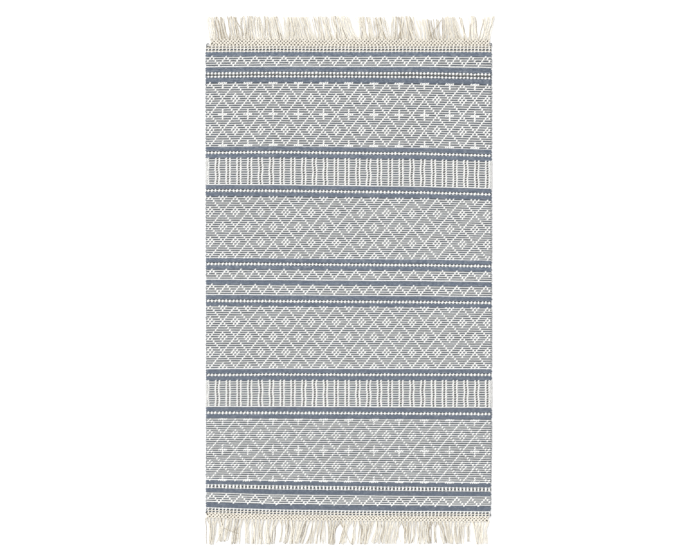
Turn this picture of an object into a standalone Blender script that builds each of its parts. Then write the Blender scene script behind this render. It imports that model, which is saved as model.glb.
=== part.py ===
"""A flat-woven rug with a knotted fringe at each end, lying flat with its underside at Z = 0.

The rug is 3 ft by 5 ft. Its length runs along Y, with the north end at +Y. The woven field is one
slab whose top is raised in weft ribs. Each fringe is a narrow plaited strip with its locks of yarn.
Sizes in the tables are in millimetres.
"""

import bisect

import bmesh
import bpy

MM = 0.001

# Driving dimensions
RUG_WIDTH = 914.0
LENGTH_OVER_FRINGES = 1690.0
NORTH_MARGIN = 96.0  # from the field's north edge to the longest fringe tip

# Heights over the floor
RIB_TOP = 6.0
RIB_VALLEY = 4.8
STRIPE_DROP = 0.8  # the plain stripes lie lower than the figured bands
PLAIT_TOP = 6.0
PLAIT_VALLEY = 4.9
PLAIT_EDGE = 4.4
LOCK_TIP = 3.4

# Plaited strips and locks
CLEARANCE = 0.3  # between the field and each plaited strip
LOCK_PITCH = 9.0
WIDEST_LOCK = 6.0
LOCK_SHARE = 0.7  # of the room between two neighbours that a lock fills
LOCK_STATIONS = (0.45, 1.0)  # shares of the lock's length
LOCK_BEND = 1.5  # the lean grows with this power of the way out, so that roots stand square
LOCK_STAGGER = (0.0, 3.0, 1.0, 5.0, 2.0)  # how much shorter each next lock of a clump is

FIELD_COLOUR = (0.50, 0.51, 0.52, 1.0)
FRINGE_COLOUR = (0.80, 0.76, 0.68, 1.0)
YARN_ROUGHNESS = 0.92

# The field's bands from north to south: kind, length along the rug, weft ribs
BANDS = (
    ("ends", 20.0, 2),
    ("stripe", 15.0, 2),
    ("zigzag", 33.5, 5),
    ("stripe", 13.5, 2),
    ("dots", 20.0, 3),
    ("stripe", 14.5, 2),
    ("diamonds", 207.5, 28),
    ("stripe", 13.5, 2),
    ("dots", 9.0, 1),
    ("stripe", 14.0, 2),
    ("bars", 88.0, 12),
    ("stripe", 13.0, 2),
    ("dots", 8.0, 1),
    ("stripe", 14.0, 2),
    ("diamonds", 197.5, 28),
    ("stripe", 13.0, 2),
    ("dots", 9.0, 1),
    ("stripe", 14.0, 2),
    ("zigzag", 34.0, 5),
    ("stripe", 14.5, 2),
    ("zigzag", 33.0, 5),
    ("stripe", 14.0, 2),
    ("dots", 8.0, 1),
    ("stripe", 14.0, 2),
    ("diamonds", 198.0, 28),
    ("stripe", 13.5, 2),
    ("dots", 7.5, 1),
    ("stripe", 15.5, 2),
    ("bars", 85.5, 12),
    ("stripe", 14.5, 2),
    ("dots", 7.0, 1),
    ("stripe", 14.5, 2),
    ("diamonds", 201.5, 28),
    ("stripe", 14.5, 2),
    ("dots", 13.5, 2),
    ("stripe", 14.5, 2),
    ("zigzag", 32.5, 5),
    ("stripe", 16.0, 2),
    ("ends", 17.5, 2),
)

# How far the rows sag to the south at each side: distance from the north edge, west side, east side
ROW_SAG = (
    (0.0, 0.0, 0.0),
    (27.0, 0.5, 1.5),
    (110.0, 0.0, 5.0),
    (334.0, 0.0, 7.5),
    (462.0, -3.0, 8.0),
    (686.0, -2.0, 5.5),
    (759.0, -3.0, 3.0),
    (829.0, -2.0, 3.0),
    (1053.0, 0.0, 1.0),
    (1181.0, -1.0, 3.0),
    (1398.0, -5.5, 4.5),
    (1475.0, -8.0, 2.5),
    (1510.0, -6.0, 1.0),
)

# Across each plaited strip: share of its depth from the field outwards, height
PLAIT_SECTION = (
    (0.0, PLAIT_EDGE),
    (0.25, PLAIT_TOP),
    (0.5, PLAIT_VALLEY),
    (0.75, PLAIT_TOP),
    (1.0, PLAIT_EDGE),
)

# The plaited strips: name, depth, west end, east end
STRIPS = {
    "fringe_north": (21.0, -441.0, 448.0),
    "fringe_south": (17.0, -455.0, 446.0),
}

# Clumps of locks from west to east: root west, root east, tip west, tip east, shortfall
CLUMPS = {
    "fringe_north": (
        (-436, -387, -451, -400, 2),
        (-378, -346, -387, -359, 1),
        (-340, -294, -344, -299, 0),
        (-287, -210, -294, -226, 1),
        (-201, -109, -209, -130, 2),
        (-98, -48, -117, -66, 1),
        (-40, 25, -56, -4, 0),
        (35, 80, 30, 72, 2),
        (89, 128, 78, 110, 3),
        (138, 224, 137, 206, 1),
        (233, 290, 216, 286, 10),
        (299, 362, 301, 337, 2),
        (374, 374, 357, 357, 4),
        (386, 410, 385, 404, 0),
        (420, 444, 425, 453, 2),
    ),
    "fringe_south": (
        (-451, -424, -452, -428, 1),
        (-415, -372, -418, -390, 10),
        (-363, -347, -378, -350, 2),
        (-326, -326, -325, -325, 4),
        (-306, -274, -307, -275, 1),
        (-265, -233, -266, -240, 2),
        (-214, -214, -219, -219, 8),
        (-200, -124, -207, -150, 3),
        (-115, -77, -140, -76, 2),
        (-68, -39, -66, -47, 1),
        (-12, 2, -30, -12, 2),
        (16, 16, 12, 12, 0),
        (34, 80, 29, 60, 2),
        (89, 163, 72, 152, 3),
        (174, 208, 171, 206, 3),
        (217, 262, 218, 263, 2),
        (275, 275, 276, 276, 5),
        (288, 367, 302, 364, 3),
        (379, 379, 383, 383, 9),
        (391, 441, 405, 441, 2),
    ),
}

FIELD_LENGTH = sum(length for _, length, _ in BANDS)
NORTH_EDGE = LENGTH_OVER_FRINGES / 2 - NORTH_MARGIN
SOUTH_EDGE = NORTH_EDGE - FIELD_LENGTH


def clear_scene():
    for obj in list(bpy.data.objects):
        bpy.data.objects.remove(obj, do_unlink=True)


def between(table, place, column):
    """The table's value in that column, on a straight line between its rows."""
    places = [row[0] for row in table]
    after = min(max(bisect.bisect_right(places, place), 1), len(table) - 1)
    low, high = table[after - 1], table[after]
    share = (place - low[0]) / (high[0] - low[0])
    return low[column] + share * (high[column] - low[column])


def row_sag(from_north, x):
    """How far south of its middle a row lies at that x."""
    column = 1 if x < 0 else 2
    return between(ROW_SAG, from_north, column) * abs(x) / (RUG_WIDTH / 2)


def material(name, colour):
    made = bpy.data.materials.new(name)
    made.use_nodes = True
    shader = made.node_tree.nodes["Principled BSDF"]
    shader.inputs["Base Color"].default_value = colour
    shader.inputs["Roughness"].default_value = YARN_ROUGHNESS
    shader.inputs["Metallic"].default_value = 0.0
    return made


def place(vert, x, y, z):
    vert.co = (x * MM, y * MM, z * MM)


def swept(bm, stations, point_at, count):
    """A closed section of count points, swept along X through the stations. Returns the rims.

    point_at(index, x) gives a section point's y and z. The sweep starts as a disc of count sides,
    and each step extrudes its face and moves the new rim to the next station.
    """
    made = bmesh.ops.create_circle(bm, cap_ends=True, segments=count, radius=1.0)
    rim = list(made["verts"])
    for index, vert in enumerate(rim):
        place(vert, stations[0], *point_at(index, stations[0]))
    start = list(rim[0].link_faces[0].verts)
    order = [rim.index(vert) for vert in start]
    face = rim[0].link_faces[0]
    rims = [rim]
    for x in stations[1:]:
        face = bmesh.ops.extrude_discrete_faces(bm, faces=[face])["faces"][0]
        rim = [None] * count
        for vert, index in zip(face.verts, order):
            rim[index] = vert
            place(vert, x, *point_at(index, x))
        rims.append(rim)
    bm.faces.new(start)
    return rims


def finished(name, bm, made_of, collection):
    bmesh.ops.recalc_face_normals(bm, faces=bm.faces[:])
    mesh = bpy.data.meshes.new(name)
    bm.to_mesh(mesh)
    bm.free()
    mesh.materials.append(made_of)
    obj = bpy.data.objects.new(name, mesh)
    collection.objects.link(obj)
    return obj


def rib_profile():
    """The field's top from north to south: distance from the north edge, height."""
    points = [(0.0, RIB_VALLEY)]
    start = 0.0
    for kind, length, ribs in BANDS:
        drop = STRIPE_DROP if kind == "stripe" else 0.0
        for rib in range(ribs):
            points.append((start + (rib + 0.5) * length / ribs, RIB_TOP - drop))
            points.append((start + (rib + 1) * length / ribs, RIB_VALLEY - drop / 2))
        start += length
    points[-1] = (start, RIB_VALLEY)
    return points


def woven_field(collection):
    profile = rib_profile()
    profile += [(FIELD_LENGTH, 0.0), (0.0, 0.0)]

    def point_at(index, x):
        from_north, height = profile[index]
        return NORTH_EDGE - from_north - row_sag(from_north, x), height

    bm = bmesh.new()
    half = RUG_WIDTH / 2
    swept(bm, (-half, 0.0, half), point_at, len(profile))
    return finished("woven_field", bm, material("woven_field", FIELD_COLOUR), collection)


def width_in(places, index):
    """A lock's width in the room that its nearer neighbour leaves."""
    place = places[index]
    near = places[max(index - 1, 0) : index] + places[index + 1 : index + 2]
    room = min(abs(place - other) for other in near)
    return min(WIDEST_LOCK, LOCK_SHARE * room)


def locks_of(name):
    """Each lock as root x, tip x, root width, tip width and shortfall, from west to east."""
    roots, tips, shortfalls = [], [], []
    for root_west, root_east, tip_west, tip_east, shortfall in CLUMPS[name]:
        steps = round((root_east - root_west) / LOCK_PITCH)
        for step in range(steps + 1):
            share = step / steps if steps else 0.0
            roots.append(root_west + share * (root_east - root_west))
            tips.append(tip_west + share * (tip_east - tip_west))
            shortfalls.append(shortfall + LOCK_STAGGER[step % len(LOCK_STAGGER)])
    order = range(len(roots))
    root_widths = [width_in(roots, index) for index in order]
    tip_widths = [width_in(tips, index) for index in order]
    return list(zip(roots, tips, root_widths, tip_widths, shortfalls))


def fringe(name, collection):
    """A plaited strip along the field's end, with its locks drawn out of the strip's outer side."""
    north = name == "fringe_north"
    outward = 1 if north else -1
    edge = NORTH_EDGE if north else SOUTH_EDGE
    end_row = 0.0 if north else FIELD_LENGTH
    depth, west, east = STRIPS[name]
    tip_line = outward * LENGTH_OVER_FRINGES / 2
    locks = locks_of(name)
    section = list(PLAIT_SECTION) + [(1.0, 0.0), (0.0, 0.0)]

    def point_at(index, x):
        share, height = section[index]
        out = CLEARANCE + share * (depth - CLEARANCE)
        return edge + outward * out - row_sag(end_row, x), height

    stations = [west]
    for root, _, width, _, _ in locks:
        stations += [root - width / 2, root + width / 2]
    stations.append(east)
    bm = bmesh.new()
    rims = swept(bm, stations, point_at, len(section))

    top = len(PLAIT_SECTION) - 1
    base = top + 1
    for number, (root, tip, root_width, tip_width, shortfall) in enumerate(locks):
        west_rim, east_rim = rims[2 * number + 1], rims[2 * number + 2]
        corners = {west_rim[top], west_rim[base], east_rim[top], east_rim[base]}
        face = next(side for side in west_rim[top].link_faces if corners == set(side.verts))
        root_y = point_at(top, root)[0]
        tip_y = tip_line - outward * shortfall
        for share in LOCK_STATIONS:
            made = bmesh.ops.extrude_discrete_faces(bm, faces=[face])
            face = made["faces"][0]
            middle = root + (tip - root) * share**LOCK_BEND
            half = (root_width + (tip_width - root_width) * share) / 2
            height = PLAIT_EDGE + (LOCK_TIP - PLAIT_EDGE) * share
            y = root_y + (tip_y - root_y) * share
            centre = face.calc_center_median()
            for vert in face.verts:
                side = 1 if vert.co.x > centre.x else -1
                raised = height if vert.co.z > centre.z else 0.0
                place(vert, middle + side * half, y, raised)
    return finished(name, bm, material(name, FRINGE_COLOUR), collection)


def build():
    clear_scene()
    rug = bpy.data.collections.new("rug")
    bpy.context.scene.collection.children.link(rug)
    woven_field(rug)
    for name in STRIPS:
        fringe(name, rug)


build()
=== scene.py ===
import math

import bpy
import numpy as np
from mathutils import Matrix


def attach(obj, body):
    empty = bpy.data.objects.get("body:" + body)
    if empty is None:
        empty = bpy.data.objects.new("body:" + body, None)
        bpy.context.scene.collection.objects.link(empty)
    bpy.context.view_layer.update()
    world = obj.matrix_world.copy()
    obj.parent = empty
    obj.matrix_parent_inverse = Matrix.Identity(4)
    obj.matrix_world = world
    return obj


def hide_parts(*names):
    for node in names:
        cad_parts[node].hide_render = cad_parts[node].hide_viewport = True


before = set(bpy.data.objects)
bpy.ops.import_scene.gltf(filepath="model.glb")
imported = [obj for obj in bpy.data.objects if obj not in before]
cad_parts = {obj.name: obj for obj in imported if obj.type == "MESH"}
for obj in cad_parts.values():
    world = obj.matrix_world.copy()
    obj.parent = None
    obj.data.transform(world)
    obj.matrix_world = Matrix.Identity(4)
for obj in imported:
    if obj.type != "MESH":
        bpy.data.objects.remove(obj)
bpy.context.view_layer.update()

# A flat-woven rug with a knotted fringe at each end, seen from straight above.
# Sizes are in millimetres. X runs across the rug, Y along it with the north end at +Y, and Z up.
# Weft rows are placed by their distance from the field's north edge, and warps by their count from the
# middle one, to the east.

MM = 0.001
SEED = 20

# The rug's plan, whose sizes and band lengths are those of its CAD source
RUG_WIDTH = 914.0
LENGTH_OVER_FRINGES = 1690.0
NORTH_MARGIN = 96.0  # from the tips of the north fringe to the field

# The bands from north to south: kind, length along the rug
BANDS = (
    ("ends_north", 20.0),
    ("stripe", 15.0),
    ("zigzag", 33.5),
    ("stripe", 13.5),
    ("dots_double", 20.0),
    ("stripe", 14.5),
    ("diamonds_crossed", 207.5),
    ("stripe", 13.5),
    ("dots", 9.0),
    ("stripe", 14.0),
    ("bars", 88.0),
    ("stripe", 13.0),
    ("dots", 8.0),
    ("stripe", 14.0),
    ("diamonds", 197.5),
    ("stripe", 13.0),
    ("dots", 9.0),
    ("stripe", 14.0),
    ("zigzag", 34.0),
    ("stripe", 14.5),
    ("zigzag", 33.0),
    ("stripe", 14.0),
    ("dots", 8.0),
    ("stripe", 14.0),
    ("diamonds", 198.0),
    ("stripe", 13.5),
    ("dots", 7.5),
    ("stripe", 15.5),
    ("bars", 85.5),
    ("stripe", 14.5),
    ("dots", 7.0),
    ("stripe", 14.5),
    ("diamonds_crossed", 201.5),
    ("stripe", 14.5),
    ("dots_columns", 13.5),
    ("stripe", 14.5),
    ("zigzag", 32.5),
    ("stripe", 16.0),
    ("ends_south", 17.5),
)

# How many rows a band has: blue ones in a stripe, cream ones in the figured kinds
BAND_ROWS = {"stripe": 4, "zigzag": 5, "bars": 12, "diamonds": 29, "diamonds_crossed": 29}

# How the rows fill each figured band, from north to south and to the nearest half millimetre:
# how far the first cream row lies from the band's north side, how far the last one lies from its south side,
# and how far the knuckles sit to the south of their blue row's middle
FIGURED = (
    (2.5, 2.5, 0.0),
    (7.0, 0.5, 0.0),
    (5.0, 2.0, 0.5),
    (5.5, 1.0, 1.0),
    (3.5, 2.5, 0.0),
    (3.0, 1.5, 0.0),
    (2.5, 2.0, 1.0),
    (4.0, 2.5, 0.5),
    (3.0, 2.0, 4.0),
    (2.0, 3.5, 6.5),
)

# How far the rows sag to the south of their middle, to the nearest half millimetre:
# distance from the north edge, then the sag at each place in SAG_X
SAG_X = (-457.0, -240.0, 240.0, 457.0)
ROW_SAG = (
    (0.0, 0.0, -0.5, 0.0, 0.0),
    (30.0, 0.5, -1.0, -0.5, 0.5),
    (80.0, 1.5, -0.5, 0.0, 5.0),
    (110.0, 0.0, -1.0, 2.5, 6.0),
    (340.0, -0.5, -3.0, 2.5, 8.5),
    (460.0, -4.0, -3.0, 3.0, 9.0),
    (700.0, -3.0, -2.0, 1.5, 5.0),
    (830.0, -3.0, -1.5, 1.5, 4.0),
    (1050.0, 1.0, -1.0, 0.0, 0.0),
    (1190.0, -1.5, -1.0, 1.5, 3.0),
    (1400.0, -6.0, -3.0, 2.5, 4.5),
    (1430.0, -9.0, -2.5, 3.0, 4.5),
    (1480.0, -10.0, -3.0, 2.0, 3.0),
)

# How far the selvedges draw in: distance from the north edge, west side, east side
WAIST = (
    (0.0, 0.0, 0.5),
    (480.0, 0.5, 0.5),
    (930.0, 1.5, 0.0),
    (1250.0, 1.5, 0.5),
    (1400.0, 1.0, 2.5),
    (1500.0, 1.5, 3.5),
)

# The plaited strips: depth, west end, east end, the way outwards (1 for north, -1 for south)
STRIPS = {
    "north": (20.5, -441.0, 448.0, 1.0),
    "south": (17.0, -455.0, 446.0, -1.0),
}

# Clumps of fringe yarns from west to east: root west, root east, tip west, tip east, shortfall
CLUMPS = {
    "north": (
        (-436, -387, -451, -400, 2),
        (-378, -346, -387, -359, 1),
        (-340, -294, -344, -299, 0),
        (-287, -210, -294, -226, 1),
        (-201, -109, -209, -130, 2),
        (-98, -48, -117, -66, 1),
        (-40, 25, -56, -4, 0),
        (35, 80, 30, 72, 2),
        (89, 128, 78, 110, 3),
        (138, 224, 137, 206, 1),
        (233, 290, 216, 286, 10),
        (299, 362, 301, 337, 2),
        (374, 374, 357, 357, 4),
        (386, 410, 385, 404, 0),
        (420, 446, 430, 467, 1),
    ),
    "south": (
        (-451, -424, -452, -428, 1),
        (-415, -372, -418, -390, 10),
        (-363, -347, -378, -350, 2),
        (-326, -326, -325, -325, 4),
        (-306, -274, -307, -275, 1),
        (-265, -233, -266, -240, 2),
        (-214, -214, -219, -219, 8),
        (-200, -124, -207, -150, 3),
        (-115, -77, -140, -76, 2),
        (-68, -39, -66, -47, 1),
        (-12, 2, -30, -12, 2),
        (16, 16, 12, 12, 0),
        (34, 80, 29, 60, 2),
        (89, 163, 72, 152, 3),
        (174, 208, 171, 206, 3),
        (217, 262, 218, 263, 2),
        (275, 275, 276, 276, 5),
        (288, 367, 302, 364, 3),
        (379, 379, 383, 383, 9),
        (391, 441, 405, 441, 2),
    ),
}

FIELD_LENGTH = sum(length for _, length in BANDS)
NORTH_EDGE = LENGTH_OVER_FRINGES / 2 - NORTH_MARGIN
SOUTH_EDGE = NORTH_EDGE - FIELD_LENGTH

# Warps
WARP_PITCH = 5.75
OUTER_WARP = 79
WARPS = np.arange(-OUTER_WARP, OUTER_WARP + 1)
INNER_WARPS = WARPS[1:-1]
EVEN_WARPS = [x for x in INNER_WARPS if x % 2 == 0]
SELVEDGE = 1.5  # how far inside the rug's width the cloth ends and the weft turns

# Heights over the floor
CLOTH_TOP = 3.4
KNUCKLE_FOOT = 3.5
DARK_CREST = 4.2
BLUE_CREST = 4.5
STRIPE_CREST = 5.0
CREAM_CREST = 5.2
SEAM_TOP = 5.4
KNUCKLE_TOP = 6.0

draws = np.random.default_rng(SEED)


def sag(from_north, x):
    """How far south of its middle a row lies at x. Both are arrays that go together."""
    table = np.array(ROW_SAG)
    stations = np.array(sorted((*SAG_X, 0.0)))
    total = 0.0
    for column, station in enumerate(SAG_X):
        near = np.interp(x, stations, stations == station)
        total = total + np.interp(from_north, table[:, 0], table[:, column + 1]) * near
    return total


def waist(from_north):
    """How far the west and the east selvedge lie inside the rug's width."""
    table = np.array(WAIST)
    return tuple(np.interp(from_north, table[:, 0], table[:, side]) for side in (1, 2))


def field_y(from_north, x):
    """Y at x of a row whose middle lies at that distance from the field's north edge."""
    return NORTH_EDGE - from_north - sag(from_north, x)


# Meshes


class Yarns:
    """Collects points and faces of many yarns that become one piece."""

    def __init__(self):
        self.points = []
        self.along = []
        self.shade = []
        self.quads = []
        self.tris = []
        self.count = 0

    def add(self, points, along, shade, quads, tris=None):
        """Adds points with faces that count from the first of them.

        along is the length of yarn up to a point, which its twist follows, and shade how dark the yarn is.
        """
        self.points.append(points)
        self.along.append(along)
        self.shade.append(shade)
        self.quads.append(quads + self.count)
        if tris is not None:
            self.tris.append(tris + self.count)
        self.count += len(points)

    def piece(self, name, material):
        """Makes the mesh object of all that was added."""
        points = np.concatenate(self.points) * MM
        quads = np.concatenate(self.quads).reshape(-1, 4)
        tris = np.concatenate(self.tris).reshape(-1, 3) if self.tris else np.zeros((0, 3), int)
        corners = np.concatenate([quads.ravel(), tris.ravel()])
        starts = np.concatenate([np.arange(len(quads)) * 4, quads.size + np.arange(len(tris)) * 3])
        mesh = bpy.data.meshes.new(name)
        mesh.vertices.add(len(points))
        mesh.vertices.foreach_set("co", points.astype(np.float32).ravel())
        mesh.loops.add(len(corners))
        mesh.loops.foreach_set("vertex_index", corners.astype(np.int32))
        mesh.polygons.add(len(starts))
        mesh.polygons.foreach_set("loop_start", starts.astype(np.int32))
        mesh.update(calc_edges=True)
        mesh.validate()
        mesh.shade_smooth()
        for title, values in (("along", self.along), ("shade", self.shade)):
            layer = mesh.attributes.new(title, "FLOAT", "POINT")
            layer.data.foreach_set("value", np.concatenate(values).astype(np.float32))
        mesh.materials.append(material)
        obj = bpy.data.objects.new(name, mesh)
        bpy.context.scene.collection.objects.link(obj)
        return obj


def grid_quads(rows, columns, closed=False):
    """Faces of a grid of points stored row by row. A closed grid joins its last column to its first."""
    last = columns if closed else columns - 1
    row, column = np.meshgrid(np.arange(rows - 1), np.arange(last), indexing="ij")
    here = row * columns + column
    beside = row * columns + (column + 1) % columns
    return np.stack([here, beside, beside + columns, here + columns], axis=-1).reshape(-1, 4)


def for_each(faces, copies, size):
    """The same faces for each of many equal blocks of points."""
    return (faces[None] + (np.arange(copies) * size)[:, None, None]).reshape(-1, faces.shape[1])


# Weft rows

SECTION_ACROSS = np.array([-0.5, -0.26, 0.26, 0.5])  # shares of a row's width
SECTION_UP = np.array([0.0, 1.0, 1.0, 0.0])  # shares of its height over its foot
ROW_SINK = 0.5  # how far a row's foot lies under the cloth's top
ROW_FULLNESS = 1.04  # a row's width over the width of its place
ROW_INSET = (0.4, 2.0)  # least and most that a row's ends lie inside the selvedges
FIRST_STEP = 0.8  # least from a row's end to the first warp
ROW_END_WIDTH = 0.55  # share of the row's width
ROW_END_HEIGHTS = np.array([0.8, 1.8, 1.8, 0.8])
CREST_SCATTER = 0.12
WIDTH_SCATTER = 0.03  # share of the row's width
ROW_SHADES = (0.1, 0.7)
SOUTH_DEPTH = 0.85  # how much deeper the stripes' dye is at the south end, as a share of their range

# Slow waves of a row to the north and south: size, length of one radian of the wave, share of the row's phase
ROW_WAVES = ((0.22, 31.0, 1.0), (0.14, 11.0, 2.3))


def add_rows(yarns, rows, crest, dive, pinch, deepen):
    """Weft rows. Each is (distance from the north edge, width, parity); it dives under every second warp."""
    places = np.array([row[0] for row in rows])
    widths = np.array([row[1] for row in rows])
    parity = np.array([row[2] for row in rows])
    count = len(rows)
    inset = -draws.uniform(-ROW_INSET[1], -ROW_INSET[0], (count, 2))
    x = np.concatenate([[-RUG_WIDTH / 2], WARPS * WARP_PITCH, [RUG_WIDTH / 2]])
    x = np.repeat(x[None], count, axis=0)
    west, east = waist(places)
    x[:, 0] += west + inset[:, 0]
    x[:, -1] -= east + inset[:, 1]
    x[:, 1] = np.maximum(x[:, 1], x[:, 0] + FIRST_STEP)
    x[:, -2] = np.minimum(x[:, -2], x[:, -1] - FIRST_STEP)
    rises = np.cos(np.pi * (np.arange(x.shape[1])[None] + parity[:, None]))
    loose = draws.normal(0, 1, x.shape)
    phase = draws.uniform(0, 2 * math.pi, (count, 1))
    drift = sum(size * np.sin(x / length + share * phase) for size, length, share in ROW_WAVES)
    height = crest + dive * rises + CREST_SCATTER * loose
    uneven = WIDTH_SCATTER * draws.normal(0, 1, x.shape)
    width = widths[:, None] * (ROW_FULLNESS + pinch * rises + uneven)
    width[:, [0, -1]] *= ROW_END_WIDTH
    middle = field_y(places[:, None], x) + drift
    foot = CLOTH_TOP - ROW_SINK
    points = np.zeros(x.shape + (4, 3))
    points[..., 0] = x[..., None]
    points[..., 1] = middle[..., None] + width[..., None] * SECTION_ACROSS
    points[..., 2] = foot + (height - foot)[..., None] * SECTION_UP
    points[:, [0, -1], :, 2] = ROW_END_HEIGHTS
    quads = for_each(grid_quads(x.shape[1], 4)[:, ::-1], count, x.shape[1] * 4)
    along = np.repeat(x[..., None], 4, axis=-1)
    shade = draws.uniform(*ROW_SHADES, (count, 1)) + deepen * (places[:, None] / FIELD_LENGTH) ** 3
    shade = np.broadcast_to(shade[..., None], along.shape)
    yarns.add(points.reshape(-1, 3), along.ravel(), shade.ravel(), quads)


# Weft turns

TURN_STEPS = 6
LONGEST_TURN = 11.0
TURN_SCATTER = 0.2  # share of its reach
TURN_DIP = 0.8
TURN_TWIST = 12.0  # length of yarn in one twist


def add_turns(yarns, rows, radius, reach, height):
    """Turns that carry a yarn round the outermost warp from one row to the next, at each side by turns."""
    places = sorted(row[0] for row in rows)
    bend = np.linspace(-math.pi / 2, math.pi / 2, TURN_STEPS)
    paths = []
    for number, (first, second) in enumerate(zip(places[:-1], places[1:])):
        if second - first > LONGEST_TURN:
            continue
        side = -1.0 if number % 2 == 0 else 1.0
        out = reach * draws.normal(1, TURN_SCATTER)
        middle = (first + second) / 2
        inset = waist(middle)[0 if side < 0 else 1]
        x = side * (RUG_WIDTH / 2 - SELVEDGE - inset + out * np.cos(bend))
        y = field_y(middle, side * RUG_WIDTH / 2) - np.sin(bend) * (second - first) / 2
        z = height - TURN_DIP * np.cos(bend)
        paths.append(np.stack([x, y, z], axis=-1))
    paths = np.array(paths)
    add_tubes(yarns, paths, np.full(paths.shape[:2], radius), TURN_TWIST)


# Knuckles, where the cream yarn comes up over a blue row

KNUCKLE_LEAN = 0.42  # eastwards for each step northwards
DOT_LEAN = 0.12
PLACE_SCATTER = 0.28
WIDE_SCATTER = 0.07  # share of its width, and so on for the next two
LONG_SCATTER = 0.05
LIFT_SCATTER = 0.06
LEAN_SCATTER = 0.14
ROUNDNESS = 0.85  # 1 for an oval outline, less for a squarer one
DOME_SIDES = 8
DOME_RINGS = ((1.0, 0.0), (0.76, 0.76))  # share of the outline, share of the height


def squarer(values):
    """Moves the cosines or sines of an oval outwards at its shoulders."""
    return np.sign(values) * np.abs(values) ** ROUNDNESS


def add_knuckles(yarns, places, top, slant):
    """Small domes of yarn. Places are (warp, distance from the north edge, width, length)."""
    places = np.array(places, float)
    count = len(places)
    x = places[:, 0] * WARP_PITCH + draws.normal(0, PLACE_SCATTER, count)
    y = field_y(places[:, 1], x) + draws.normal(0, PLACE_SCATTER, count)
    wide = places[:, 2] * draws.normal(1, WIDE_SCATTER, count)
    long = places[:, 3] * draws.normal(1, LONG_SCATTER, count)
    lift = (top - KNUCKLE_FOOT) * draws.normal(1, LIFT_SCATTER, count)
    lean = draws.normal(slant, LEAN_SCATTER, count)
    angle = 2 * math.pi * np.arange(DOME_SIDES) / DOME_SIDES
    rings = []
    for out, up in DOME_RINGS:
        eastwards = wide[:, None] / 2 * out * squarer(np.cos(angle))
        northwards = long[:, None] / 2 * out * squarer(np.sin(angle))
        ring = np.zeros((count, DOME_SIDES, 3))
        ring[..., 0] = x[:, None] + eastwards + lean[:, None] * northwards
        ring[..., 1] = y[:, None] + northwards
        ring[..., 2] = KNUCKLE_FOOT + (lift * up)[:, None]
        rings.append(ring)
    tip = np.stack([x, y, KNUCKLE_FOOT + lift], axis=-1)[:, None]
    points = np.concatenate(rings + [tip], axis=1)
    size = points.shape[1]
    quads = for_each(grid_quads(len(DOME_RINGS), DOME_SIDES, closed=True), count, size)
    first = DOME_SIDES * (len(DOME_RINGS) - 1)
    side = np.arange(DOME_SIDES)
    following = (side + 1) % DOME_SIDES
    cap = np.stack([first + side, first + following, np.full(DOME_SIDES, size - 1)], axis=-1)
    tris = for_each(cap, count, size)
    shade = np.repeat(draws.uniform(0, 1, (count, 1)), size, axis=1)
    yarns.add(points.reshape(-1, 3), points[..., 1].ravel(), shade.ravel(), quads, tris)


# Round yarns along a path

LOBED = np.array([1.16, 0.98, 0.76, 0.98, 1.16, 0.98, 0.76, 0.98])  # a two-ply outline, over its radius
FIRST_TIP, LAST_TIP = 0.3, 0.6  # how far a yarn's rounded ends stand past its path
LOWEST = 0.05


def add_tubes(yarns, paths, radius, twist_length, squash=1.0, shades=None):
    """Two-ply yarns along many paths of equal point count.

    radius holds one value for each point and shades one for each yarn. squash is height over width.
    """
    count, steps, _ = paths.shape
    sides = len(LOBED)
    run = np.gradient(paths, axis=1)
    run /= np.linalg.norm(run, axis=-1, keepdims=True)
    side = np.cross(run, np.array([0.0, 0.0, 1.0]))
    side /= np.linalg.norm(side, axis=-1, keepdims=True)
    up = np.cross(side, run)
    gaps = np.linalg.norm(np.diff(paths, axis=1), axis=-1)
    length = np.concatenate([np.zeros((count, 1)), np.cumsum(gaps, axis=1)], axis=1)
    start = draws.uniform(0, 2 * math.pi, (count, 1))
    turn = start + 2 * math.pi * length / twist_length
    angle = turn[..., None] + 2 * math.pi * np.arange(sides) / sides
    reach = radius[..., None] * LOBED
    points = (
        paths[:, :, None]
        + side[:, :, None] * (reach * np.cos(angle))[..., None]
        + up[:, :, None] * (reach * np.sin(angle) * squash)[..., None]
    )
    size = steps * sides + 2
    tips = [paths[:, 0] - run[:, 0] * FIRST_TIP, paths[:, -1] + run[:, -1] * LAST_TIP]
    points = np.concatenate([points.reshape(count, -1, 3), np.stack(tips, axis=1)], axis=1)
    points[..., 2] = np.maximum(points[..., 2], LOWEST)
    quads = for_each(grid_quads(steps, sides, closed=True), count, size)
    ring = np.arange(sides)
    first = np.stack([(ring + 1) % sides, ring, np.full(sides, size - 2)], axis=-1)
    last = (steps - 1) * sides
    final = np.stack([last + ring, last + (ring + 1) % sides, np.full(sides, size - 1)], axis=-1)
    tris = for_each(np.concatenate([first, final]), count, size)
    along = np.repeat(length[..., None], sides, axis=-1).reshape(count, -1)
    along = np.concatenate([along, length[:, [0, -1]]], axis=1)
    if shades is None:
        shades = draws.uniform(0, 1, count)
    shade = np.repeat(shades[:, None], size, axis=1)
    yarns.add(points.reshape(-1, 3), along.ravel(), shade.ravel(), quads, tris)


# The charts: on which warps a row of a figured band has knuckles. x counts warps from the middle one.

DIAMOND_REPEAT = 14
DIAMOND_ROWS = 5  # of diamonds over each other, every second of them shifted by half a repeat
ZIGZAG_REPEAT = 8
BAR_REPEAT = 6
BAR_COLUMNS = (4, 0)  # where in the repeat a bar's two columns lie, the second of them in the next repeat
BAR_SEAM = 5

# Motifs in the middle of a diamond: rows from its middle, and the warps from it that are raised there
EYE = {0: (-2, 0, 2), 1: (-1, 1), 2: (0,)}
CROSS = {0: (-2, -1, 0, 1, 2), 1: (0,), 2: (0,)}


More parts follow.
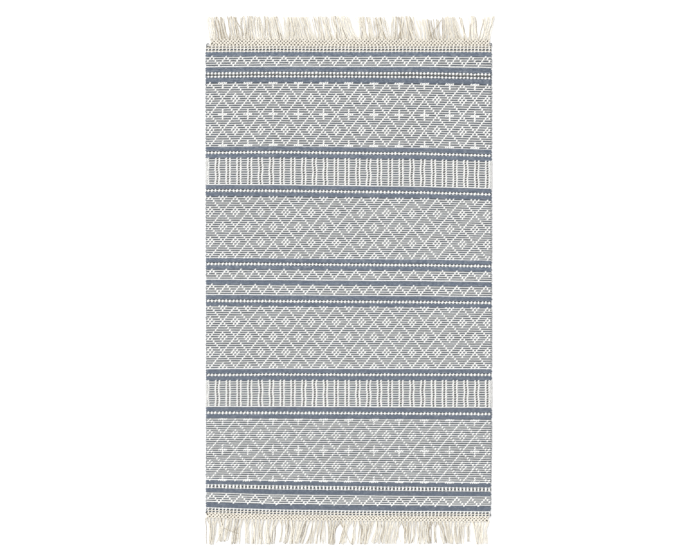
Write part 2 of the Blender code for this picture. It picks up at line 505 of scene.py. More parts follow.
def from_middle(x, middle, repeat):
    """How far x is from the nearest of the middles that come round with each repeat."""
    return (x - middle + repeat // 2) % repeat - repeat // 2


def diamonds(row, x, crossed):
    """A trellis of diagonals with an eye in each diamond, or a cross in every second row of diamonds."""
    half = DIAMOND_REPEAT // 2
    if (x - half + row) % DIAMOND_REPEAT == 0 or (x - half - row) % DIAMOND_REPEAT == 0:
        return True
    for number in range(DIAMOND_ROWS):
        shifted = number % 2 == 1
        motif = CROSS if crossed and not shifted else EYE
        away = from_middle(x, half if shifted else 0, DIAMOND_REPEAT)
        if away in motif.get(abs(row - half * number), ()):
            return True
    return False


def zigzag(row, x):
    """One line of peaks to the north, a warp sideways for each row."""
    return abs(from_middle(x, ZIGZAG_REPEAT // 2, ZIGZAG_REPEAT)) == row


CHARTS = {
    "zigzag": zigzag,
    "diamonds": lambda row, x: diamonds(row, x, False),
    "diamonds_crossed": lambda row, x: diamonds(row, x, True),
    "bars": lambda row, x: x % BAR_REPEAT in BAR_COLUMNS,
}

# Bands that aren't a plain run of cream and blue rows. First come their rows: tone, distance from the band's
# north side, width. Then the knuckles on their even warps: kind, distance from the north side, width, length.
# Their dark and dim rows are painted shade, the shadow in the gaps between the knuckles
SPECIAL = {
    "ends_north": (
        (("warm", 1.0, 3.0), ("dim", 4.8, 4.6), ("warm", 8.8, 3.2), ("dark", 13.2, 5.8), ("warm", 17.8, 3.4)),
        (("ends", 4.6, 4.6, 6.2), ("ends", 12.9, 4.3, 7.0), ("ends", 19.6, 4.6, 4.6)),
    ),
    "dots_double": (
        (
            ("stripe", 0.9, 1.8), ("blue", 3.2, 2.8), ("cream", 5.4, 1.6), ("blue", 7.4, 2.4),
            ("dim", 9.9, 2.6), ("dark", 12.8, 3.0),
            ("blue", 15.3, 1.8), ("cream", 17.0, 1.6), ("blue", 18.9, 2.0),
        ),
        (("dots", 5.5, 7.6, 8.4), ("dots", 16.9, 7.6, 7.8)),
    ),
    "dots_columns": (
        (("cream", 1.5, 2.0), ("dark", 4.5, 3.8), ("dark", 8.3, 3.8), ("cream", 11.2, 2.0)),
        (("dots", 1.4, 6.4, 4.6), ("dots", 6.3, 6.6, 7.6), ("dots", 10.8, 6.2, 4.2)),
    ),
    "ends_south": (
        (
            ("bright", 1.9, 2.8), ("dark", 6.0, 5.4), ("warm", 10.0, 2.6), ("dark", 13.4, 4.2),
            ("warm", 16.8, 2.4),
        ),
        (("ends", 1.6, 5.0, 3.6), ("ends", 5.8, 4.8, 6.6), ("ends", 13.6, 4.7, 5.6)),
    ),
}
KNUCKLE_WIDTH = 5.7
KNUCKLE_REACH = 0.55  # of the rows' pitch, to the north and to the south
BITE = 3.5  # how far a knuckle may reach over a stripe
THINNEST_ROW = 1.0
BAND_EDGE = 0.3  # least from a cream row to its band's side

# A single line of dots: the cream row in its middle, and the dark rows at each side as shares of its length
DOT_WIDTH = 6.2
DOT_LENGTH = 11.2
DOT_SHIFT = 1.1  # southwards from the band's middle
DOT_ROW = 0.36
DOT_DARK_ROWS = (0.15, 0.85)
DOT_DARK_WIDTH = 0.32

SEAM_WIDTH = 5.6  # of the dark line between the two columns of a bar
MARGIN_WARPS = 2  # warps at each selvedge that the bars' cream margin covers

# How the bars stray sideways, as a wave over rows and bars in radians. How far also differs from bar to bar.
BAR_WOBBLE = 0.2  # at most, in warps
WOBBLE_BY_ROW, WOBBLE_BY_BAR = 0.8, 2.3
CALM_BY_BAR, CALM_START = 1.3, 0.4


def wobble(row, warp):
    """How far a bar strays sideways at a row, the same for its two columns and the seam between them."""
    bar = (warp - BAR_COLUMNS[0]) // BAR_REPEAT
    most = BAR_WOBBLE * (0.5 + 0.5 * math.sin(CALM_BY_BAR * bar + CALM_START))
    return most * math.sin(WOBBLE_BY_ROW * row + WOBBLE_BY_BAR * bar)


class Layout:
    """Every row and knuckle of the field, by kind.

    Rows are (distance from the north edge, width, parity), knuckles (warp, distance, width, length).
    """

    def __init__(self):
        tones = ("cream", "bright", "warm", "blue", "dark", "dim", "stripe")
        kinds = ("north_diamonds", "south_diamonds", "figures", "dots", "ends", "margins", "seams")
        self.rows = {tone: [] for tone in tones}
        self.knuckles = {kind: [] for kind in kinds}
        self.number = 0
        start = 0.0
        figured = iter(FIGURED)
        for kind, length in BANDS:
            if kind == "stripe":
                self.add_stripe(start, length)
            elif kind in SPECIAL:
                self.add_special(start, *SPECIAL[kind])
            elif kind == "dots":
                self.add_dots(start, length)
            else:
                self.add_figured(kind, start, length, *next(figured))
            start += length

    def add_row(self, tone, place, width):
        """A row that goes under the warps that the one before it went over."""
        self.rows[tone].append((place, width, self.number))
        self.number += 1

    def add_stripe(self, start, length):
        """A plain blue stripe of equal rows."""
        count = BAND_ROWS["stripe"]
        width = length / count
        for k in range(count):
            self.add_row("stripe", start + (k + 0.5) * width, width)

    def add_special(self, start, rows, knuckles):
        """A band of SPECIAL."""
        for tone, place, width in rows:
            self.add_row(tone, start + place, width)
        for kind, place, width, long in knuckles:
            self.knuckles[kind] += [(x, start + place, width, long) for x in EVEN_WARPS]

    def add_dots(self, start, length):
        """A line of cream dots between two dark rows."""
        middle = start + length / 2 + DOT_SHIFT
        self.rows["cream"].append((middle, length * DOT_ROW, 1))
        # The dark rows at the dots' sides are painted shade
        for share in DOT_DARK_ROWS:
            self.rows["dark"].append((start + length * share, length * DOT_DARK_WIDTH, 0))
        self.knuckles["dots"] += [(x, middle, DOT_WIDTH, DOT_LENGTH) for x in EVEN_WARPS]

    def add_figured(self, kind, start, length, first, last, lower):
        """A band of cream rows with blue ones between them, and its chart's knuckles over the blue rows."""
        count = BAND_ROWS[kind]
        pitch = (length - first - last) / (count - 1)
        half = pitch / 4
        for k in range(count):
            tone = "bright" if k == count - 1 else "cream"
            north = max(first + k * pitch - half, BAND_EDGE)
            south = min(first + k * pitch + half, length - BAND_EDGE)
            self.rows[tone].append((start + (north + south) / 2, south - north, k))
            if k < count - 1:
                self.rows["blue"].append((start + first + (k + 0.5) * pitch, pitch / 2, k + 1))
        self.fill_sides(start, length, first - half, last - half, 2 * half, count + 1)
        for row in range(count):
            place = first + (row - 0.5) * pitch + lower
            reach = pitch * KNUCKLE_REACH
            north = max(place - reach, -BITE)
            south = min(place + reach + (lower if row == count - 1 else 0.0), length + BITE)
            warps = [x for x in INNER_WARPS if CHARTS[kind](row, int(x))]
            middle = start + (north + south) / 2
            long = south - north
            if kind == "bars":
                self.add_bar_sides(row, middle, long, pitch)
                warps = [x + wobble(row, x) for x in warps]
            self.knuckles[self.target(kind, start)] += [(x, middle, KNUCKLE_WIDTH, long) for x in warps]

    def fill_sides(self, start, length, north, south, width, parity):
        """Fills what is free at a figured band's north and south sides with blue."""
        if north > THINNEST_ROW:
            width = min(north, width)
            self.rows["blue"].append((start + north - width / 2, width, 0))
            if north - width > THINNEST_ROW:
                self.rows["stripe"].append((start + (north - width) / 2, north - width, 1))
        if south > THINNEST_ROW:
            self.rows["blue"].append((start + length - south / 2, south, parity))

    def add_bar_sides(self, row, middle, long, pitch):
        """The cream margins at the selvedges of a band of bars, and the seams in its bars."""
        margins = [side * (OUTER_WARP - k) for side in (-1, 1) for k in range(MARGIN_WARPS)]
        self.knuckles["margins"] += [(x, middle, KNUCKLE_WIDTH, long) for x in margins]
        seams = [x + wobble(row, x) for x in INNER_WARPS if x % BAR_REPEAT == BAR_SEAM]
        self.knuckles["seams"] += [(x, middle, SEAM_WIDTH, pitch) for x in seams]

    def target(self, kind, start):
        """The kind of knuckles that a band's chart goes to. The diamonds go to a north or a south piece, by
        the half of the field they lie in. No piece may hold all the diamonds.
        """
        if not kind.startswith("diamonds"):
            return "figures"
        return "north_diamonds" if start < FIELD_LENGTH / 2 else "south_diamonds"


# Materials


# What the yarns have in common
YARN_SURFACE = {
    "Roughness": 0.92,
    "Specular IOR Level": 0.25,
    "Sheen Weight": 0.25,
    "Sheen Roughness": 0.6,
}
PLY_LENGTH = 2.6  # in millimetres, between the grooves of the twist
PLY_RELIEF = 0.45
FUZZ_RELIEF = 1.4
RELIEF_DEPTH = 0.0004  # in metres
TO_MM = 1000.0

# Noises in the yarns: scale, detail, roughness
PATCH_NOISE = (7.0, 3.0, 0.5)
SLUB_NOISE = (115.0, 2.0, 0.6)
FIBRE_NOISE = (900.0, 2.0, 0.7)
FUZZ_NOISE = (1400.0, 3.0, 0.7)

# Where a noise begins and ends to show
PATCH_RANGE = (0.35, 0.65)
SLUB_RANGE = (0.40, 0.66)
FIBRE_RANGE = (0.42, 0.66)
ODD_RANGE = (0.6, 1.0)

PATCH_STRENGTH = 0.5
PATCH_DARKNESS = 0.4  # share of the dark colour in a patch
FIBRE_STRENGTH = 0.8  # share of the heather
YARN_STRENGTH = 0.6  # share of the heather by which one yarn is darker than another


def yarn_material(name, colour, pale, dark, bump, heather, odd=None):
    """Woollen or cotton yarn: mottled colour, twisted plies and loose fibres, dull with a soft sheen.

    heather is how strongly it is mottled. With odd, only the yarns of high shade are darker, by that much.
    """
    made = bpy.data.materials.new(name)
    made.use_nodes = True
    tree = made.node_tree
    nodes = tree.nodes
    shader = nodes["Principled BSDF"]
    for title, value in YARN_SURFACE.items():
        shader.inputs[title].default_value = value
    place = nodes.new("ShaderNodeTexCoord")
    along = nodes.new("ShaderNodeAttribute")
    along.attribute_name = "along"
    shade = nodes.new("ShaderNodeAttribute")
    shade.attribute_name = "shade"

    def noise(scale, detail, rough):
        node = nodes.new("ShaderNodeTexNoise")
        node.inputs["Scale"].default_value = scale
        node.inputs["Detail"].default_value = detail
        node.inputs["Roughness"].default_value = rough
        tree.links.new(place.outputs["Object"], node.inputs["Vector"])
        return node.outputs["Fac"]

    def ramp(value, limits, most):
        """0 below the limits, rising to most at their end and over it."""
        node = nodes.new("ShaderNodeMapRange")
        node.inputs["From Min"].default_value = limits[0]
        node.inputs["From Max"].default_value = limits[1]
        node.inputs["To Max"].default_value = most
        tree.links.new(value, node.inputs["Value"])
        return node.outputs["Result"]

    def mix(share, first, second):
        node = nodes.new("ShaderNodeMix")
        node.data_type = "RGBA"
        tree.links.new(share, node.inputs["Factor"])
        for socket, value in (("A", first), ("B", second)):
            target = [s for s in node.inputs if s.name == socket and s.type == "RGBA"][0]
            if isinstance(value, tuple):
                target.default_value = (*value, 1.0)
            else:
                tree.links.new(value, target)
        return [s for s in node.outputs if s.type == "RGBA"][0]

    def maths(operation, first, second=0.0):
        node = nodes.new("ShaderNodeMath")
        node.operation = operation
        for socket, value in zip(node.inputs, (first, second)):
            if isinstance(value, float):
                socket.default_value = value
            else:
                tree.links.new(value, socket)
        return node.outputs[0]

    patch = tuple((1 - PATCH_DARKNESS) * a + PATCH_DARKNESS * b for a, b in zip(colour, dark))
    tone = mix(ramp(noise(*PATCH_NOISE), PATCH_RANGE, PATCH_STRENGTH), colour, patch)
    tone = mix(ramp(noise(*SLUB_NOISE), SLUB_RANGE, heather), tone, pale)
    tone = mix(ramp(noise(*FIBRE_NOISE), FIBRE_RANGE, heather * FIBRE_STRENGTH), tone, dark)
    if odd is None:
        each = ramp(shade.outputs["Fac"], (0.0, 1.0), heather * YARN_STRENGTH)
    else:
        each = ramp(shade.outputs["Fac"], ODD_RANGE, odd)
    tone = mix(each, tone, dark)
    tree.links.new(tone, shader.inputs["Base Color"])

    across = nodes.new("ShaderNodeSeparateXYZ")
    tree.links.new(place.outputs["Object"], across.inputs["Vector"])
    slant = maths("MULTIPLY", maths("ADD", across.outputs["Y"], across.outputs["Z"]), TO_MM)
    turns = maths("ADD", along.outputs["Fac"], slant)
    plies = maths("SINE", maths("MULTIPLY", turns, 2 * math.pi / PLY_LENGTH))
    fuzz = maths("MULTIPLY", noise(*FUZZ_NOISE), FUZZ_RELIEF)
    relief = nodes.new("ShaderNodeBump")
    relief.inputs["Strength"].default_value = bump
    relief.inputs["Distance"].default_value = RELIEF_DEPTH
    tree.links.new(maths("ADD", maths("MULTIPLY", plies, PLY_RELIEF), fuzz), relief.inputs["Height"])
    tree.links.new(relief.outputs["Normal"], shader.inputs["Normal"])
    return made


# Colours, as linear red, green and blue
# CREAM, for the rows, is darker and greyer than KNUCKLE, though both are one cream yarn: painted shade on the
# rows, which dive under the warps and lie lower
CREAM = (0.75, 0.748, 0.73)
CREAM_PALE = (0.84, 0.84, 0.82)
CREAM_DARK = (0.55, 0.545, 0.525)
KNUCKLE = (0.92, 0.92, 0.90)
KNUCKLE_PALE = (0.965, 0.965, 0.95)
BAND_BLUE = (0.105, 0.122, 0.142)
BAND_DARK = (0.05, 0.058, 0.066)
# SHADOW and DIM are painted shade, the deep and the paler shadow in the gaps of the ends and dots bands
SHADOW = (0.063, 0.072, 0.079)
FRINGE_PALE = (0.96, 0.935, 0.88)
FRINGE = (0.93, 0.88, 0.775)
FRINGE_DARK = (0.62, 0.56, 0.46)
LOOSE = (0.99, 0.94, 0.825)
# LOOSE_DARK gives the loose yarns' dark fibres, and as painted shade darkens the yarns of the lowest layer,
# which show between the yarns over them
LOOSE_DARK = (0.36, 0.29, 0.19)
PLAIT_SHADOW = (0.13, 0.112, 0.086)
DIM = (0.21, 0.205, 0.19)
SEAM = (0.035, 0.03, 0.022)
BLUE = (0.184, 0.229, 0.303)
BLUE_PALE = (0.36, 0.40, 0.455)
BLUE_DARK = (0.095, 0.115, 0.15)

# Name, colour, pale slubs, dark fibres, bump, heather
cream_yarn = yarn_material("cream_yarn", CREAM, CREAM_PALE, CREAM_DARK, 0.5, 0.45)
knuckle_yarn = yarn_material("knuckle_yarn", KNUCKLE, KNUCKLE_PALE, CREAM, 0.4, 0.3)
band_yarn = yarn_material("band_yarn", BAND_BLUE, BLUE, BAND_DARK, 0.6, 0.5)
loose_yarn = yarn_material("loose_yarn", LOOSE, FRINGE_PALE, LOOSE_DARK, 0.5, 0.12, odd=0.9)
fringe_yarn = yarn_material("fringe_yarn", FRINGE, FRINGE_PALE, FRINGE_DARK, 0.5, 0.4)
# The sheet under each plait is painted shade, the shadow between its strands
painted_plait_shade = yarn_material("painted_plait_shade", PLAIT_SHADOW, FRINGE_DARK, BAND_DARK, 0.5, 0.2)
seam_yarn = yarn_material("seam_yarn", SEAM, DIM, BAND_DARK, 0.5, 0.15)
dim_yarn = yarn_material("dim_yarn", DIM, FRINGE_DARK, BAND_DARK, 0.5, 0.2)
blue_yarn = yarn_material("blue_yarn", BLUE, BLUE_PALE, BLUE_DARK, 0.6, 0.85)
shadow_yarn = yarn_material("shadow_yarn", SHADOW, BLUE_DARK, BAND_DARK, 0.5, 0.3)

# The field

field = Layout()
rows = field.rows


def in_bars(place):
    """Whether a row lies in a band of bars, whose selvedges are cream."""
    start = 0.0
    for kind, length in BANDS:
        if start <= place < start + length:
            return kind == "bars"
        start += length
    return False


CLOTH_COLUMNS = 9
THINNEST_RIB = 1.0
RIB_DEPTH_UNDER = 0.9
RIB_DEPTH_OVER = 0.5
RIM_DROP = 1.0


def cloth_ribs():
    """The places of the cloth's grooves and crests, and each step's colour, 0 for cream or 1 for blue."""
    light = rows["cream"] + rows["bright"] + rows["warm"]
    deep = rows["blue"] + rows["dark"] + rows["dim"] + rows["stripe"]
    ordered = sorted([(*row[:2], 0) for row in light] + [(*row[:2], 1) for row in deep])
    places, colours = [0.0], []
    for number, (place, width, colour) in enumerate(ordered):
        end = FIELD_LENGTH
        if number + 1 < len(ordered):
            following, following_width, _ = ordered[number + 1]
            end = (place + width / 2 + following - following_width / 2) / 2
        end = max(end, places[-1] + THINNEST_RIB)
        places += [(places[-1] + end) / 2, end]
        colours += [colour, colour]
    return np.minimum(np.array(places), FIELD_LENGTH), np.array(colours)


def ground_cloth():
    """The cloth under the weft rows: a closed thin sheet whose top is painted shade in the gaps between the
    rows, and whose underside shows the same rows as ribs.
    """
    places, colours = cloth_ribs()
    groove = np.where(np.arange(len(places)) % 2 == 1, 0.0, 1.0)[:, None]
    steps, columns = len(places), CLOTH_COLUMNS
    west, east = waist(places)
    side = RUG_WIDTH / 2 - SELVEDGE
    x = np.linspace(-side + west, side - east, columns).T
    points = np.zeros((2, steps, columns, 3))
    points[..., 0] = x
    points[..., 1] = field_y(places[:, None], x)
    points[0, ..., 2] = RIB_DEPTH_UNDER * groove
    points[1, ..., 2] = CLOTH_TOP - RIB_DEPTH_OVER * groove
    points[1, :, [0, -1], 2] -= RIM_DROP
    flat = grid_quads(steps, columns)
    size = steps * columns
    rim = np.concatenate([
        np.arange(columns),
        np.arange(1, steps) * columns + columns - 1,
        size - columns + np.arange(columns - 2, -1, -1),
        np.arange(steps - 2, 0, -1) * columns,
    ])
    beside = np.roll(rim, -1)
    wall = np.stack([rim, beside, beside + size, rim + size], axis=-1)
    yarns = Yarns()
    yarns.add(
        points.reshape(-1, 3),
        points[..., 0].ravel(),
        np.full(2 * size, 0.5),
        np.concatenate([flat, flat[:, ::-1] + size, wall[:, ::-1]]),
    )
    made = yarns.piece("ground_cloth", shadow_yarn)
    made.data.materials.append(cream_yarn)
    made.data.materials.append(blue_yarn)
    # The top takes shadow_yarn, as painted shade; the underside takes the rows' cream and blue, and the rim
    # blue
    under = np.repeat(colours + 1, columns - 1)
    index = np.concatenate([under, np.zeros(len(flat), int), np.full(len(wall), 2)])
    made.data.polygons.foreach_set("material_index", index.astype(np.int32))
    return made


cloth = ground_cloth()

# Row pieces: tone, piece name, slot, material, crest, how deep the rows dive, how much they narrow there
ROW_PIECES = (
    ("cream", "cream_wefts", "cream_yarn", cream_yarn, CREAM_CREST, 0.3, 0.05),
    ("bright", "bright_wefts", "cream_yarn", knuckle_yarn, CREAM_CREST, 0.3, 0.05),
    ("warm", "warm_wefts", "cream_yarn", fringe_yarn, CREAM_CREST, 0.3, 0.05),
    ("blue", "blue_wefts", "blue_yarn", band_yarn, BLUE_CREST, 0.35, 0.05),
    # The dark and dim rows are painted shade, in the colour of the shadow between the knuckles
    ("dark", "dark_wefts", "blue_yarn", shadow_yarn, DARK_CREST, 0.35, 0.05),
    ("dim", "dim_wefts", "cream_yarn", dim_yarn, DARK_CREST, 0.35, 0.05),
    ("stripe", "blue_stripes", "blue_yarn", blue_yarn, STRIPE_CREST, 0.7, 0.12),
)
field_pieces = []
for tone, title, slot, material, crest, dive, pinch in ROW_PIECES:
    yarns = Yarns()
    add_rows(yarns, rows[tone], crest, dive, pinch, SOUTH_DEPTH if tone == "stripe" else 0.0)
    field_pieces.append((yarns.piece(title, material), slot))

# Loops of weft that stand out at the corners of the field: x, y, radius, the arc's start and end in degrees
CORNER_LOOPS = (
    (-449.4, 750.6, 4.4, 50, 315),
    (452.8, 752.6, 3.2, -150, 140),
    (-453.6, -741.0, 1.8, 60, 250),
    (450.5, -748.6, 1.9, -110, 80),
)
LOOP_STEPS = 12
LOOP_RADIUS = 1.5
LOOP_ENDS = 4.6  # height of its ends
LOOP_RISE = 1.4


def corner_loops():
    """The loops of CORNER_LOOPS, each highest in its middle."""
    paths = []
    for x, y, radius, start, finish in CORNER_LOOPS:
        turn = np.radians(np.linspace(start, finish, LOOP_STEPS))
        height = LOOP_ENDS + LOOP_RISE * np.sin(np.linspace(0, math.pi, LOOP_STEPS))
        paths.append(np.stack([x + radius * np.cos(turn), y + radius * np.sin(turn), height], axis=-1))
    paths = np.array(paths)
    yarns = Yarns()
    add_tubes(yarns, paths, np.full(paths.shape[:2], LOOP_RADIUS), TURN_TWIST)
    return yarns.piece("corner_loops", shadow_yarn)


seams = Yarns()
add_knuckles(seams, field.knuckles.pop("seams"), SEAM_TOP, DOT_LEAN)
field_pieces.append((seams.piece("bar_seams", seam_yarn), "cream_yarn"))
cream_pieces = []
for title, places in field.knuckles.items():
    yarns = Yarns()
    add_knuckles(yarns, places, KNUCKLE_TOP, DOT_LEAN if title == "dots" else KNUCKLE_LEAN)
    material = cream_yarn if title == "margins" else knuckle_yarn
    cream_pieces.append(yarns.piece("cream_" + title, material))

# The turns: radius of the yarn, reach past the cloth, height
CREAM_TURN = (1.2, 2.2, 2.9)
BLUE_TURN = (1.2, 1.7, 2.5)
STRIPE_TURN = (1.3, 1.6, 2.6)

yarns = Yarns()
add_turns(yarns, rows["cream"] + rows["bright"], *CREAM_TURN)
field_pieces.append((yarns.piece("cream_turns", cream_yarn), "cream_yarn"))

yarns = Yarns()
add_turns(yarns, [row for row in rows["blue"] + rows["dark"] if not in_bars(row[0])], *BLUE_TURN)
add_turns(yarns, rows["stripe"], *STRIPE_TURN)
field_pieces.append((yarns.piece("blue_turns", blue_yarn), "blue_yarn"))
field_pieces.append((corner_loops(), "blue_yarn"))

# The plaited strips and the fringes


def smooth(share, start, end):
    """Rises from 0 at start to 1 at end, level at both."""
    share = np.clip((share - start) / (end - start), 0, 1)
    return share * share * (3 - 2 * share)


PLAIT_STEPS = 19
PLAIT_SLOPE = 1.06  # sideways for each step outwards
PLAIT_INSET = 3.0  # from the strip's ends to its outermost roots
PLAIT_GAP = 0.6  # from the field's edge
PLAIT_RADIUS = 2.2
PLAIT_SQUASH = 0.75
PLAIT_TWIST = 16.0  # length of yarn in one twist
PLAIT_MIDDLE = 3.5  # height of the strands' middles
PLAIT_RISE = 0.75  # how far over and under it they go
CROSSING_PITCH = 5.4
STRAND_SCATTER = 0.3
STRAND_THICKNESS_SCATTER = 0.08

# The sheet of painted shade under each plait, which stands in for the shadow between its strands
SHADE_SHEET_STEPS = 40
SHADE_SHEET_INSET = 2.0
SHADE_SHEET_GAP = 0.8
SHADE_SHEET_SHORTFALL = 2.5  # how much less deep than the strip
SHADE_SHEET_PROFILE = ((0.0, 0.1), (0.0, 1.6), (0.5, 2.2), (1.0, 1.6), (1.0, 0.1))  # share of its depth, height


def field_end(out):
    """The Y of the field's edge on that side, and its distance from the north edge."""
    return (NORTH_EDGE, 0.0) if out > 0 else (SOUTH_EDGE, FIELD_LENGTH)


def plait(end):
    """Warp ends pulled over and under each other, half of them leaning each way."""
    depth, west, east, out = STRIPS[end]
    edge, from_north = field_end(out)
    count = len(WARPS)
    lean = np.where(np.arange(count) % 2 == 0, 1.0, -1.0)[:, None]
    root = np.linspace(west + PLAIT_INSET, east - PLAIT_INSET, count)[:, None]
    reach = depth * np.linspace(0, 1, PLAIT_STEPS)[None]
    scatter = draws.normal(0, STRAND_SCATTER, (count, 1))
    x = np.clip(root + lean * PLAIT_SLOPE * (reach - depth / 2) + scatter, west, east)
    y = edge - sag(np.full_like(x, from_north), x) + out * (PLAIT_GAP + reach)
    z = PLAIT_MIDDLE + PLAIT_RISE * lean * np.cos(math.pi * (reach / CROSSING_PITCH - 0.5))
    thickness = draws.normal(1, STRAND_THICKNESS_SCATTER, (count, 1))
    radius = np.full(z.shape, PLAIT_RADIUS) * thickness
    yarns = Yarns()
    add_tubes(yarns, np.stack([x, y, z], axis=-1), radius, PLAIT_TWIST, squash=PLAIT_SQUASH)
    return yarns.piece("plait_" + end, fringe_yarn), x[:, -1], y[:, -1]


def plait_shadow(end):
    """A dark sheet under the plait, of painted shade, which shows only as dark specks between the strands."""
    depth, west, east, out = STRIPS[end]
    edge, from_north = field_end(out)
    x = np.linspace(west + SHADE_SHEET_INSET, east - SHADE_SHEET_INSET, SHADE_SHEET_STEPS)
    y = edge - sag(np.full_like(x, from_north), x)
    corners = len(SHADE_SHEET_PROFILE)
    points = np.zeros((SHADE_SHEET_STEPS, corners, 3))
    for number, (share, height) in enumerate(SHADE_SHEET_PROFILE):
        points[:, number, 0] = x
        points[:, number, 1] = y + out * (SHADE_SHEET_GAP + (depth - SHADE_SHEET_SHORTFALL) * share)
        points[:, number, 2] = height
    count = SHADE_SHEET_STEPS * corners
    faces = grid_quads(SHADE_SHEET_STEPS, corners, closed=True)
    near = np.array([[0, k, k + 1] for k in range(1, corners - 1)])
    caps = np.concatenate([near, near[:, ::-1] + count - corners])
    if out < 0:
        faces, caps = faces[:, ::-1], caps[:, ::-1]
    shade_sheet = Yarns()
    shade_sheet.add(points.reshape(-1, 3), points[..., 0].ravel(), np.full(count, 0.5), faces, caps)
    return shade_sheet.piece("painted_plait_shade_" + end, painted_plait_shade)


YARN_STEPS = 18
YARN_RADIUS = 1.15
YARN_TWIST = 17.0  # length of yarn in one twist
YARNS_AT_WARP = (-1.3, 1.3)  # sideways from the warp
TIP_SCATTER = 4.2
TIP_REACH = 2.0  # how far past its clump's tip a yarn may end
TIP_PITCH = 2.0  # between the tips of a clump that comes to one point
SHORTFALL_SCATTER = 2.4
HIDDEN_ROOT = 2.0  # length of a yarn that lies inside the plait
BUNCHED_AT = 0.4  # share of its length at which a yarn has joined its clump
BOW_SCATTER = 3.0
THICKNESS_SCATTER = 0.06
TIP_TAPER = 0.25
TAPER_FROM = 0.9  # share of its length

# How a yarn waves sideways, and up and down: size, radians over its length
SIDE_WAVE = (0.8, 9.0)
LEVEL_WAVE = (0.5, 7.0)
LEVEL_WAVE_RANGE = (0.1, 0.5)  # shares of its length where the second begins and is full

# A clump's layers: heights of the yarns' middles and the share of yarns in each. All start at ROOT_LEVEL.
LEVELS = [1.6, 3.2, 4.2]
LEVEL_SHARES = [0.36, 0.32, 0.32]
ROOT_LEVEL = 3.6
LEVEL_AT = 0.35  # share of its length at which a yarn has reached its layer
TIP_SINK = 0.7  # of the yarns over the lowest layer
SINK_FROM = 0.5  # share of its length
# The lowest layer's yarns take the higher shades and so are darker: painted shade in the thin lines between
# the yarns over them
LOW_SHADES = (0.7, 1.0)
HIGH_SHADES = (0.0, 0.65)

# Lone yarns that lie across the others: end, x and distance from the field's edge where they start,
# and the same at their tips
STRAYS = (
    ("south", -410.0, 36.0, -350.0, 58.0),
    ("south", -398.0, 20.0, -424.0, 86.0),
    ("south", -30.0, 20.0, 4.0, 88.0),
    ("south", 128.0, 20.0, 166.0, 84.0),
    ("north", -330.0, 22.0, -366.0, 90.0),
    ("north", -150.0, 22.0, -196.0, 88.0),
    ("north", 60.0, 22.0, 18.0, 92.0),
    ("north", 250.0, 22.0, 296.0, 84.0),
    ("north", 440.0, 22.0, 424.0, 90.0),
)
STRAY_BOW = 2.5
STRAY_LEVEL = 1.6
STRAY_RISE = 4.2
STRAY_FLAT = 0.08  # share of its length at each end that stays level


def shares_of(members):
    """The middles of as many equal shares of 1 as there are members."""
    return (np.arange(len(members)) + 0.5) / len(members)


def tips_and_roots(x0, clumps, out):
    """Where each yarn of a fringe ends, and the x of its root once it has joined its clump."""
    limits = (clumps[:-1, 1] + clumps[1:, 0]) / 2
    owner = np.searchsorted(limits, x0)
    tip_x, tip_y, bunched = np.zeros_like(x0), np.zeros_like(x0), np.zeros_like(x0)
    for number, (root_west, root_east, tip_west, tip_east, shortfall) in enumerate(clumps):
        members = np.nonzero(owner == number)[0]
        if not len(members):
            continue
        share = shares_of(members)
        bunched[members] = root_west + share * (root_east - root_west)
        spread = tip_west + share * (tip_east - tip_west) + draws.normal(0, TIP_SCATTER, len(members))
        tip_x[members] = np.clip(spread, tip_west - TIP_REACH, tip_east + TIP_REACH)
        short = shortfall + np.abs(draws.normal(0, SHORTFALL_SCATTER, len(members)))
        tip_y[members] = out * (LENGTH_OVER_FRINGES / 2 - short)
        if tip_west == tip_east:
            tip_x[members] = tip_west + TIP_PITCH * (np.arange(len(members)) - (len(members) - 1) / 2)
    return tip_x, tip_y, bunched


def stray_paths(end):
    """The lone yarns of a fringe, which rise over the others in their middle."""
    out = STRIPS[end][3]
    edge, _ = field_end(out)
    way = np.linspace(0, 1, YARN_STEPS)
    paths = []
    for place, x_start, start, x_tip, tip in STRAYS:
        if place != end:
            continue
        x = x_start + (x_tip - x_start) * way + STRAY_BOW * np.sin(math.pi * way)
        y = edge + out * (start + (tip - start) * way)
        z = STRAY_LEVEL + STRAY_RISE * np.sin(math.pi * np.clip(way, STRAY_FLAT, 1 - STRAY_FLAT))
        paths.append(np.stack([x, y, z], axis=-1))
    return np.array(paths)


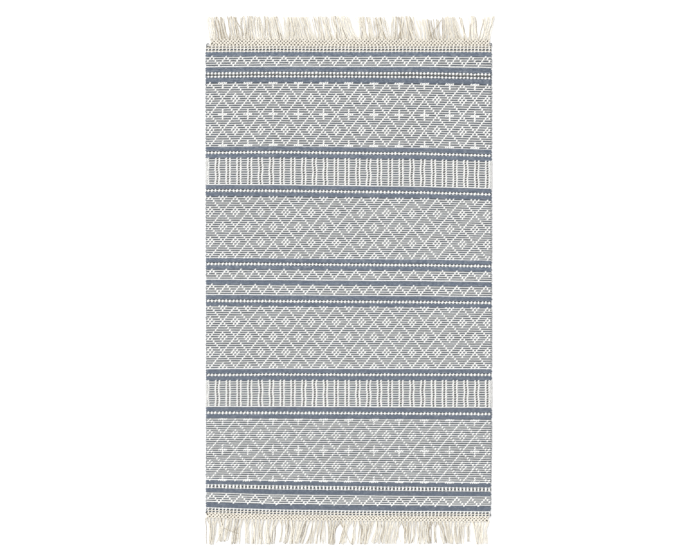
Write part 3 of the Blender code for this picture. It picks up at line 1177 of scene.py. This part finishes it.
def fringe(end, roots, root_y):
    """The loose warp ends, which lean together into clumps."""
    out = STRIPS[end][3]
    order = np.repeat(np.argsort(roots), len(YARNS_AT_WARP))
    x0 = roots[order] + np.tile(YARNS_AT_WARP, len(roots))
    y0 = root_y[order]
    count = len(x0)
    tip_x, tip_y, bunched = tips_and_roots(x0, np.array(CLUMPS[end], float), out)
    share = np.linspace(0, 1, YARN_STEPS)[None]
    settled = smooth(share, 0.0, BUNCHED_AT)
    x = x0[:, None] + (bunched - x0)[:, None] * settled + (tip_x - bunched)[:, None] * share
    phase = draws.uniform(0, 2 * math.pi, (count, 1))
    bow = draws.normal(0, BOW_SCATTER, (count, 1))
    x += bow * np.sin(math.pi * share) + SIDE_WAVE[0] * np.sin(SIDE_WAVE[1] * share + phase) * settled
    y = y0[:, None] - out * HIDDEN_ROOT + (tip_y - y0 + out * HIDDEN_ROOT)[:, None] * share
    level = draws.choice(LEVELS, count, p=LEVEL_SHARES)[:, None]
    low = level == LEVELS[0]
    shades = np.where(low[:, 0], draws.uniform(*LOW_SHADES, count), draws.uniform(*HIGH_SHADES, count))
    z = ROOT_LEVEL + (level - ROOT_LEVEL) * smooth(share, 0.0, LEVEL_AT)
    z += LEVEL_WAVE[0] * np.sin(LEVEL_WAVE[1] * share + 2 * phase) * smooth(share, *LEVEL_WAVE_RANGE)
    z -= TIP_SINK * ~low * smooth(share, SINK_FROM, 1.0)
    thickness = draws.normal(1, THICKNESS_SCATTER, (count, 1))
    radius = YARN_RADIUS * thickness * (1 - TIP_TAPER * smooth(share, TAPER_FROM, 1.0))
    yarns = Yarns()
    add_tubes(yarns, np.stack([x, y, z], axis=-1), radius, YARN_TWIST, shades=shades)
    strays = stray_paths(end)
    add_tubes(yarns, strays, np.full(strays.shape[:2], YARN_RADIUS), YARN_TWIST)
    return yarns.piece("fringe_yarns_" + end, loose_yarn)


for end in STRIPS:
    strip, tip_x, tip_y = plait(end)
    shade_sheet = plait_shadow(end)
    locks = fringe(end, tip_x, tip_y)
    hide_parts("fringe_" + end)
    cream_pieces += [strip, shade_sheet, locks]

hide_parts("woven_field")
everything = [(cloth, "blue_yarn"), *field_pieces, *((piece, "cream_yarn") for piece in cream_pieces)]
for piece, slot in everything:
    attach(piece, "root")

# The floor, the light and the camera
# In metres, but for the shares, angles and strengths
FLOOR_REACH = 6.0
FLOOR_GAP = 0.0003  # under the rug, so that no two faces lie in one plane
PAPER = (0.92, 0.92, 0.92, 1.0)
PAPER_ROUGHNESS = 0.95
WORLD_STRENGTH = 0.86
SUN_STRENGTH = 1.9
SUN_SIZE = math.radians(50)
SUN_TILT = (math.radians(-30), math.radians(-32), 0.0)
CAMERA_PLACE = (0.0039, 0.0011, 5.0)
FOCAL_LENGTH = 80.5  # in millimetres, as the sensor's width
SENSOR_WIDTH = 36.0
FARTHEST = 50.0

floor_mesh = bpy.data.meshes.new("floor")
corners = ((-1, -1), (1, -1), (1, 1), (-1, 1))
points = [(x * FLOOR_REACH, y * FLOOR_REACH, -FLOOR_GAP) for x, y in corners]
floor_mesh.from_pydata(points, [], [(0, 1, 2, 3)])
floor = bpy.data.objects.new("floor", floor_mesh)
bpy.context.scene.collection.objects.link(floor)
paper = bpy.data.materials.new("floor_paper")
paper.use_nodes = True
surface = paper.node_tree.nodes["Principled BSDF"].inputs
surface["Base Color"].default_value = PAPER
surface["Roughness"].default_value = PAPER_ROUGHNESS
floor_mesh.materials.append(paper)

world = bpy.data.worlds.new("studio")
bpy.context.scene.world = world
world.use_nodes = True
background = world.node_tree.nodes["Background"].inputs
background["Color"].default_value = (1.0, 1.0, 1.0, 1.0)
background["Strength"].default_value = WORLD_STRENGTH

light = bpy.data.lights.new("soft_light", "SUN")
light.energy = SUN_STRENGTH
light.angle = SUN_SIZE
lamp = bpy.data.objects.new("soft_light", light)
bpy.context.scene.collection.objects.link(lamp)
lamp.rotation_euler = SUN_TILT

camera = bpy.data.cameras.new("camera")
camera.lens = FOCAL_LENGTH
camera.sensor_width = SENSOR_WIDTH
camera.clip_end = FARTHEST
view = bpy.data.objects.new("camera", camera)
bpy.context.scene.collection.objects.link(view)
view.location = CAMERA_PLACE
bpy.context.scene.camera = view
bpy.context.scene.view_settings.view_transform = "Standard"
